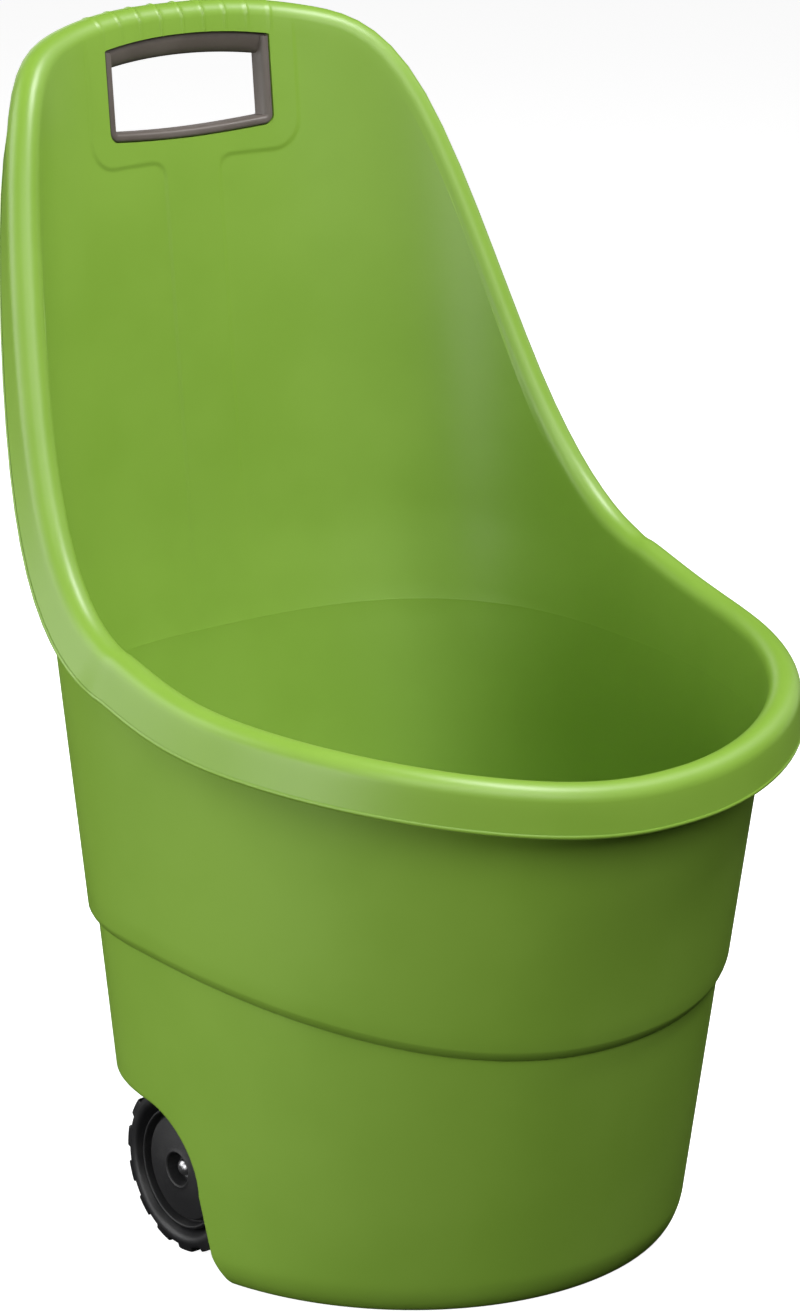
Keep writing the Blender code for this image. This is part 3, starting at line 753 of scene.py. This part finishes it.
def through(points, count):
    """A smooth line through profile points: a Catmull-Rom curve, count steps between neighbours."""
    p = np.asarray(points, dtype=float)
    p = np.concatenate([[2 * p[0] - p[1]], p, [2 * p[-1] - p[-2]]])
    t = np.linspace(0, 1, count, endpoint=False)[:, None]
    parts = []
    for a, b, c, d in zip(p, p[1:], p[2:], p[3:]):
        parts.append(0.5 * (2 * b + (c - a) * t + (2 * a - 5 * b + 4 * c - d) * t ** 2
                            + (3 * b - a - 3 * c + d) * t ** 3))
    return np.concatenate(parts + [p[-2:-1]])


# %% The disc
washer_low, washer_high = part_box("inner_washer_right")
outer_low, outer_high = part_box("outer_washer_right")
cap_low, cap_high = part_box("axle_cap_right")
hub_in = float(washer_high[0]) + GAP
hub_out = float(outer_low[0]) - GAP
RIM_RADIUS = 0.0445


def disc_profile():
    """Half section of the disc: open barrel behind, lip, domed face, hub rim and the recess for the cap."""
    barrel_in = WHEEL_FACE - WHEEL_WIDTH + 0.004
    bore = AXLE_RADIUS + GAP
    front = [(0.0445, 0.0080), (0.0440, 0.0044), (0.0432, 0.0027), (0.0423, 0.0022), (0.0415, 0.0028),
             (0.0411, 0.0050), (0.0406, 0.0090), (0.0396, 0.0100), (0.0386, 0.0090), (0.0381, 0.0066),
             (0.0373, 0.0054), (0.0360, 0.0049), (0.0300, 0.0035), (0.0220, 0.0018), (0.0165, 0.0009),
             (0.0142, 0.0004), (0.0130, 0.0), (0.0121, 0.0006), (0.0117, 0.0018), (0.0115, 0.0060),
             (0.0113, 0.0098)]
    front = through([(r, WHEEL_FACE - deep) for r, deep in front], 4)
    back = [(bore, hub_out), (bore, hub_in), (0.0105, hub_in), (0.0112, hub_in + 0.0008),
            (0.0117, hub_out - 0.006), (0.0130, WHEEL_FACE - 0.0082), (0.0350, WHEEL_FACE - 0.0098),
            (0.0375, WHEEL_FACE - 0.0125), (0.0400, WHEEL_FACE - 0.0130), (0.0420, WHEEL_FACE - 0.0145),
            (0.0420, barrel_in + 0.0005), (0.0425, barrel_in), (0.0441, barrel_in),
            (0.0445, barrel_in + 0.0005)]
    return np.concatenate([front, [(0.0108, hub_out)], back])


# %% The tread
TREAD_DEPTH = 0.003
LUG_COUNT = 14
LUG_SHARE = 0.57
LUG_EDGE = 0.0007
LUG_ROOT = 0.0045
LUG_SHOULDER = 0.0016
LUG_STEPS = 40
SPLIT_HALF_WIDTH = 0.0004
SPLIT_FLANK = 0.0009
tread = WHEEL_RADIUS - TREAD_DEPTH
groove_line = WHEEL_WIDTH / 2


def lug_height(angle, radius, out):
    """Height of the lugs: a flat-topped wave round the tyre, shifted half a pitch on the inner row."""
    deep = WHEEL_FACE - out
    if radius < tread - LUG_ROOT:
        return 0 * angle
    row = 0.5 if deep > groove_line else 0.0
    phase = (angle / (2 * math.pi) * LUG_COUNT + 0.25 + row) % 1.0 - 0.5
    pitch = 2 * math.pi * tread / LUG_COUNT
    flank = (LUG_SHARE / 2 - np.abs(phase)) * pitch / LUG_EDGE
    shoulder = smooth((deep - 0.0003) / LUG_SHOULDER) * smooth((WHEEL_WIDTH - 0.0008 - deep) / LUG_SHOULDER)
    split = smooth((abs(deep - groove_line) - SPLIT_HALF_WIDTH) / SPLIT_FLANK)
    return TREAD_DEPTH * smooth(flank + 0.5) * shoulder * split * smooth((radius - tread + 0.0030) / 0.0015)


def tyre_profile():
    """Half section of the tyre: bore, flared groove, flat side band, round shoulder, tread and inner side."""
    bore = RIM_RADIUS + GAP
    outer_face = [(bore, 0.0110), (bore + 0.0006, 0.0085), (bore + 0.0022, 0.0050),
                  (bore + 0.0040, 0.0018), (bore + 0.0058, 0.0004), (bore + 0.0078, 0.0),
                  (tread - 0.0034, 0.0001), (tread - 0.0016, 0.0006), (tread - 0.0004, 0.0016),
                  (tread, 0.0032)]
    outer_face = through([(r, WHEEL_FACE - deep) for r, deep in outer_face], 4)
    across = [0.0042, 0.0055, 0.0090, 0.0130, 0.0170, 0.0200, 0.0211, 0.0216, 0.0219, 0.0221, 0.0224, 0.0229,
              0.0240, 0.0270, 0.0310, 0.0350, 0.0385, 0.0400]
    crown = [(tread, WHEEL_FACE - deep) for deep in across]
    inner = WHEEL_FACE - WHEEL_WIDTH
    inner_face = through([(tread, inner + 0.0032), (tread - 0.0004, inner + 0.0016),
                          (tread - 0.0016, inner + 0.0006), (tread - 0.0034, inner),
                          (bore + 0.0040, inner), (bore + 0.0012, inner + 0.0006),
                          (bore, inner + 0.0022)], 3)
    return np.concatenate([outer_face, crown, inner_face])


# %% Washers, caps and axle
WASHER_RADIUS = 0.0085
CAP_RADIUS = 0.0058


def washer_profile(low, high):
    """A flat ring with its outer corners slightly bevelled."""
    bore = AXLE_RADIUS + GAP
    r = 0.0002
    return [(bore, low), (WASHER_RADIUS - r, low), (WASHER_RADIUS, low + r), (WASHER_RADIUS, high - r),
            (WASHER_RADIUS - r, high), (bore, high)]


def cap_profile(low, high):
    """A push-on cap: a domed top with a tiny dimple, a short skirt with a bevelled lip and a blind bore."""
    bore = AXLE_RADIUS + GAP
    dome = arc((0, 0), 1.0, 90, 4, 15)
    height = 0.0033
    points = [(0, high - 0.0002), (0.0008, high - 0.0001)]
    points += [(CAP_RADIUS * 0.985 * x, high - height + height * z) for x, z in dome[3:]]
    points += [(CAP_RADIUS, high - height - 0.0003), (CAP_RADIUS, low + 0.0003), (CAP_RADIUS - 0.0003, low)]
    points += [(bore, low), (bore, high - 0.0018), (0, high - 0.0018)]
    return points


# %% [markdown]
# ## Finishes
#
# Shader nodes are easier to read as sums. A small class holds one socket, and its operators add the
# Math nodes, so a pattern is written as a formula. Every other node comes from its add method.

# %% Shader sums
class Term:
    """One socket of a material. Sums, differences and products of terms add Math nodes."""

    def __init__(self, tree, socket):
        self.tree = tree
        self.socket = socket

    def add(self, kind, settings, inputs, output=0):
        """Makes a node: its settings first, then the values or links of its sockets."""
        made = self.tree.nodes.new(kind)
        for name, value in settings.items():
            setattr(made, name, value)
        for name, value in inputs.items():
            if isinstance(value, Term):
                self.tree.links.new(value.socket, made.inputs[name])
            else:
                made.inputs[name].default_value = value
        return Term(self.tree, made.outputs[output])

    def sum(self, operation, first, second):
        return self.add("ShaderNodeMath", {"operation": operation}, {0: first, 1: second})

    def __add__(self, other):
        return self.sum("ADD", self, other)

    def __radd__(self, other):
        return self.sum("ADD", other, self)

    def __sub__(self, other):
        return self.sum("SUBTRACT", self, other)

    def __rsub__(self, other):
        return self.sum("SUBTRACT", other, self)

    def __mul__(self, other):
        return self.sum("MULTIPLY", self, other)

    def __rmul__(self, other):
        return self.sum("MULTIPLY", other, self)

    def rise(self, low, high):
        """0 where the term is below low, 1 above high, and a soft step between."""
        return self.add("ShaderNodeMapRange", {"interpolation_type": "SMOOTHSTEP"},
                        {"Value": self, "From Min": low, "From Max": high})

    def noise(self, scale, detail=2.0):
        """Noise of about one feature per 1/scale metres at this place."""
        return self.add("ShaderNodeTexNoise", {}, {"Vector": self, "Scale": scale, "Detail": detail})

    def blend(self, first, second):
        """A colour between two colours, where this term is the share of the second."""
        return self.add("ShaderNodeMix", {"data_type": "RGBA"}, {0: self, 6: first, 7: second}, 2)


def finish(name):
    """A new material: the place on the object as a term, and the shader to plug colours and bumps into."""
    made = bpy.data.materials.new(name)
    made.use_nodes = True
    tree = made.node_tree
    place = tree.nodes.new("ShaderNodeTexCoord").outputs["Object"]
    return made, Term(tree, place), tree.nodes["Principled BSDF"]


def plug(shader, name, term):
    term.tree.links.new(term.socket, shader.inputs[name])


def bump(height, depth, under=None):
    """A bump of the given depth in metres where height is 1, over another bump if one is given."""
    inputs = {"Height": height, "Strength": 1.0, "Distance": depth}
    if under is not None:
        inputs["Normal"] = under
    return height.add("ShaderNodeBump", {}, inputs)


# %% [markdown]
# Moulded polypropylene has an even colour with a faint cloudiness, a very fine spark-eroded grain, and
# a sheen that varies a little from place to place. Handling leaves light scuffs low on the tub, where
# it is dragged. Their strength fades with height.

# %% Green tub plastic
SCUFF_TOP = 0.12


def green_plastic():
    made, place, shader = finish("green_plastic")
    clouds = place.noise(9.0, 3.0)
    grain = place.noise(1400.0, 1.0)
    scuff_place = place.add("ShaderNodeMapping", {}, {"Vector": place, "Scale": (60.0, 60.0, 700.0)})
    scuffs = scuff_place.noise(1.0, 4.0).rise(0.70, 0.82)
    height = place.add("ShaderNodeSeparateXYZ", {}, {"Vector": place}, 2)
    low = 1 - height.rise(0.0, SCUFF_TOP)
    wear = scuffs * low * 0.5
    colour = clouds.rise(0.3, 0.7).blend((0.186, 0.334, 0.037, 1), (0.204, 0.357, 0.044, 1))
    colour = wear.blend(colour, (0.29, 0.43, 0.12, 1))
    plug(shader, "Base Color", colour)
    plug(shader, "Roughness", 0.34 + 0.06 * clouds + 0.05 * grain + 0.1 * wear)
    ripple = bump(place.noise(45.0, 2.0), 0.0001)
    plug(shader, "Normal", bump(grain, 0.00003, ripple))
    return made


# %% Taupe grip plastic
def taupe_plastic():
    made, place, shader = finish("taupe_plastic")
    clouds = place.noise(30.0, 3.0)
    grain = place.noise(1800.0, 2.0)
    polish = place.noise(140.0, 2.0).rise(0.45, 0.7)
    colour = clouds.rise(0.3, 0.7).blend((0.098, 0.081, 0.071, 1), (0.118, 0.099, 0.088, 1))
    plug(shader, "Base Color", colour)
    plug(shader, "Roughness", 0.44 + 0.08 * clouds - 0.06 * polish)
    plug(shader, "Normal", bump(grain, 0.00005, bump(place.noise(220.0, 2.0), 0.00008)))
    return made


# %% Black wheel plastics
def grained_black():
    made, place, shader = finish("grained_black")
    grain = place.noise(1500.0, 2.0)
    cells = place.add("ShaderNodeTexVoronoi", {"feature": "SMOOTH_F1"}, {"Vector": place, "Scale": 1100.0})
    dust = place.noise(60.0, 4.0).rise(0.5, 0.8)
    colour = dust.blend((0.010, 0.010, 0.011, 1), (0.018, 0.018, 0.018, 1))
    plug(shader, "Base Color", colour)
    plug(shader, "Roughness", 0.50 + 0.12 * grain + 0.08 * dust)
    plug(shader, "Normal", bump(cells, 0.00010, bump(grain, 0.00006)))
    return made


def tyre_black():
    made, place, shader = finish("tyre_black")
    grain = place.noise(900.0, 2.0)
    dust = place.noise(45.0, 5.0).rise(0.48, 0.75)
    colour = dust.blend((0.009, 0.009, 0.010, 1), (0.018, 0.017, 0.016, 1))
    plug(shader, "Base Color", colour)
    plug(shader, "Roughness", 0.40 + 0.14 * grain + 0.12 * dust)
    plug(shader, "Normal", bump(grain, 0.00005, bump(place.noise(160.0, 2.0), 0.0001)))
    return made


# %% Plated steel
def plated_steel(name, shade, roughness):
    """Bright or dull plating: fine turning marks round the axle and a few cloudy patches."""
    made, place, shader = finish(name)
    turning = place.add("ShaderNodeMapping", {}, {"Vector": place, "Scale": (4000.0, 200.0, 200.0)})
    marks = turning.noise(1.0, 2.0)
    clouds = place.noise(150.0, 3.0)
    dull = tuple(0.8 * level for level in shade)
    colour = clouds.rise(0.45, 0.75).blend((*shade, 1), (*dull, 1))
    plug(shader, "Base Color", colour)
    plug(shader, "Roughness", roughness + 0.15 * clouds)
    plug(shader, "Normal", bump(marks, 0.00002))
    shader.inputs["Metallic"].default_value = 1.0
    return made


# %% Hand every piece its finish and body, and hide the parts it stands for
SHARP_ANGLE = 35


def finished(piece, material, body, slot, *nodes):
    """Shades a piece, gives it its finish, ties it to its body and hides the nodes it stands for."""
    mesh = piece.data
    mesh.materials.clear()
    mesh.materials.append(material)
    mesh.shade_smooth()
    mesh.set_sharp_from_angle(angle=math.radians(SHARP_ANGLE))
    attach(piece, body)
    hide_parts(*nodes)


green = green_plastic()
taupe = taupe_plastic()
disc_black = grained_black()
tread_black = tyre_black()
axle_steel = plated_steel("axle_steel", (0.55, 0.56, 0.57), 0.28)
cap_steel = plated_steel("cap_steel", (0.42, 0.42, 0.43), 0.30)
finished(tub, green, "tub", "tub_plastic", "tub")
finished(grip, taupe, "tub", "grip_plastic", "grip_front")
finished(clip_ring, taupe, "tub", "grip_plastic", "grip_rear")
half_length = float(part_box("axle")[1][0])
chamfer = 0.0005
rod_profile = [(0, -half_length), (AXLE_RADIUS - chamfer, -half_length),
               (AXLE_RADIUS, -half_length + chamfer), (AXLE_RADIUS, half_length - chamfer),
               (AXLE_RADIUS - chamfer, half_length), (0, half_length)]
axle = solid("axle_rod", turned("axle_rod", rod_profile, 1, 48))
finished(axle, axle_steel, "tub", "axle_steel", "axle")
for word, side in (("left", -1), ("right", 1)):
    disc = solid(f"wheel_face_{word}", turned(f"wheel_face_{word}", disc_profile(), side, 144))
    finished(disc, disc_black, f"{word}_wheel", "wheel_plastic", f"wheel_disc_{word}")
    ring = turned(f"tread_ring_{word}", tyre_profile(), side, LUG_STEPS * LUG_COUNT, lug_height)
    tyre = solid(f"tread_ring_{word}", ring)
    finished(tyre, tread_black, f"{word}_wheel", "tyre_plastic", f"tyre_{word}")
    inner_ring = washer_profile(float(washer_low[0]), float(washer_high[0]))
    outer_ring = washer_profile(float(outer_low[0]), float(outer_high[0]))
    for place, ring in (("inner_washer", inner_ring), ("outer_washer", outer_ring)):
        washer = solid(f"{place}_ring_{word}", turned(f"{place}_ring_{word}", ring, side, 64))
        finished(washer, axle_steel, "tub", "axle_steel", f"{place}_{word}")
    dome = cap_profile(float(cap_low[0]), float(cap_high[0]))
    cap = solid(f"cap_dome_{word}", turned(f"cap_dome_{word}", dome, side, 64))
    finished(cap, cap_steel, "tub", "cap_steel", f"axle_cap_{word}")
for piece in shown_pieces():
    print(piece.name, sum(len(face.vertices) - 2 for face in piece.data.polygons), "triangles")

# %% [markdown]
# ## Floor, light and camera
#
# A softly glowing pale floor runs out past the view, and a pale shell far round it is the background.
# Neither lights the cart: the lamps do that. They are large squares on a sphere round the cart, all
# aimed at its middle. Half of them stand to its left, and those to its right are weak or high, so the
# right side of the tub falls into shade.

# %% Floor and background
def glowing(name, shade, strength):
    """A matt material that also gives off an even light."""
    made, _, shader = finish(name)
    shader.inputs["Base Color"].default_value = (*shade, 1)
    shader.inputs["Roughness"].default_value = 0.9
    shader.inputs["Emission Color"].default_value = (1, 1, 1, 1)
    shader.inputs["Emission Strength"].default_value = strength
    return made


FLOOR_REACH = 14.0
FLOOR_SHADE = (0.6, 0.6, 0.6)
FLOOR_GLOW = 0.92
SHELL_GLOW = 1.0
floor_mesh = bpy.data.meshes.new("floor")
corners = [(-FLOOR_REACH, -FLOOR_REACH, 0), (FLOOR_REACH, -FLOOR_REACH, 0), (FLOOR_REACH, FLOOR_REACH, 0),
           (-FLOOR_REACH, FLOOR_REACH, 0)]
floor_mesh.from_pydata(corners, [], [(0, 1, 2, 3)])
floor = solid("floor", floor_mesh)
floor_mesh.materials.append(glowing("pale_floor", FLOOR_SHADE, FLOOR_GLOW))
floor.visible_diffuse = False
floor.visible_glossy = False

bpy.ops.mesh.primitive_uv_sphere_add(segments=96, ring_count=48, radius=FLOOR_REACH)
shell = bpy.context.object
shell.name = "background_shell"
shell.data.materials.append(glowing("pale_shell", (0, 0, 0), SHELL_GLOW))
shell.visible_diffuse = False
shell.visible_glossy = False
shell.visible_shadow = False


# %% Lamps
LAMP_DISTANCE = 3.0
LAMP_AIM = 0.4


def soft_lamp(name, azimuth, elevation, width, power):
    """A square area lamp on a sphere round the cart's middle, given by bearing and height in degrees."""
    turn, rise = math.radians(azimuth), math.radians(elevation)
    data = bpy.data.lights.new(name, "AREA")
    data.shape = "SQUARE"
    data.size = width
    data.energy = power
    lamp = bpy.data.objects.new(name, data)
    lamp.location = (LAMP_DISTANCE * math.sin(turn) * math.cos(rise),
                     -LAMP_DISTANCE * math.cos(turn) * math.cos(rise),
                     LAMP_AIM + LAMP_DISTANCE * math.sin(rise))
    lamp.rotation_euler = (math.pi / 2 - rise, 0, turn)
    lamp.visible_camera = False
    bpy.context.scene.collection.objects.link(lamp)


soft_lamp("front_left", -40, 35, 1.6, 25.8)
soft_lamp("front", 0, 35, 1.6, 35.4)
soft_lamp("rear_left", -130, 35, 1.6, 36.6)
soft_lamp("rear_left_low", -130, 5, 1.6, 28.2)
soft_lamp("left_low", -90, 0, 1.6, 32.0)
soft_lamp("left_edge", -70, 5, 1.0, 16.0)
soft_lamp("right", 85, 40, 1.6, 10.4)
soft_lamp("right_low", 95, 8, 1.6, 5.0)
soft_lamp("high_right", 40, 65, 1.0, 89.2)
soft_lamp("rear", 165, 20, 1.6, 12.0)
world = bpy.data.worlds.new("sky")
world.use_nodes = True
world.node_tree.nodes["Background"].inputs["Color"].default_value = (0, 0, 0, 1)
bpy.context.scene.world = world
bpy.context.scene.view_settings.view_transform = "Standard"

# %% Camera
CAMERA_AZIMUTH = -39.85
CAMERA_ELEVATION = 16.02
CAMERA_PLACE = (-1.811, -2.161, 1.2225)
CAMERA_LENS = 115.3
CAMERA_SHIFT = (-0.0009, -0.0019)
camera_data = bpy.data.cameras.new("camera")
camera_data.lens = CAMERA_LENS
camera_data.sensor_width = 36.0
camera_data.shift_x, camera_data.shift_y = CAMERA_SHIFT
camera = bpy.data.objects.new("camera", camera_data)
camera.location = CAMERA_PLACE
camera.rotation_euler = (math.radians(90 - CAMERA_ELEVATION), 0, math.radians(CAMERA_AZIMUTH))
bpy.context.scene.collection.objects.link(camera)
bpy.context.scene.camera = camera
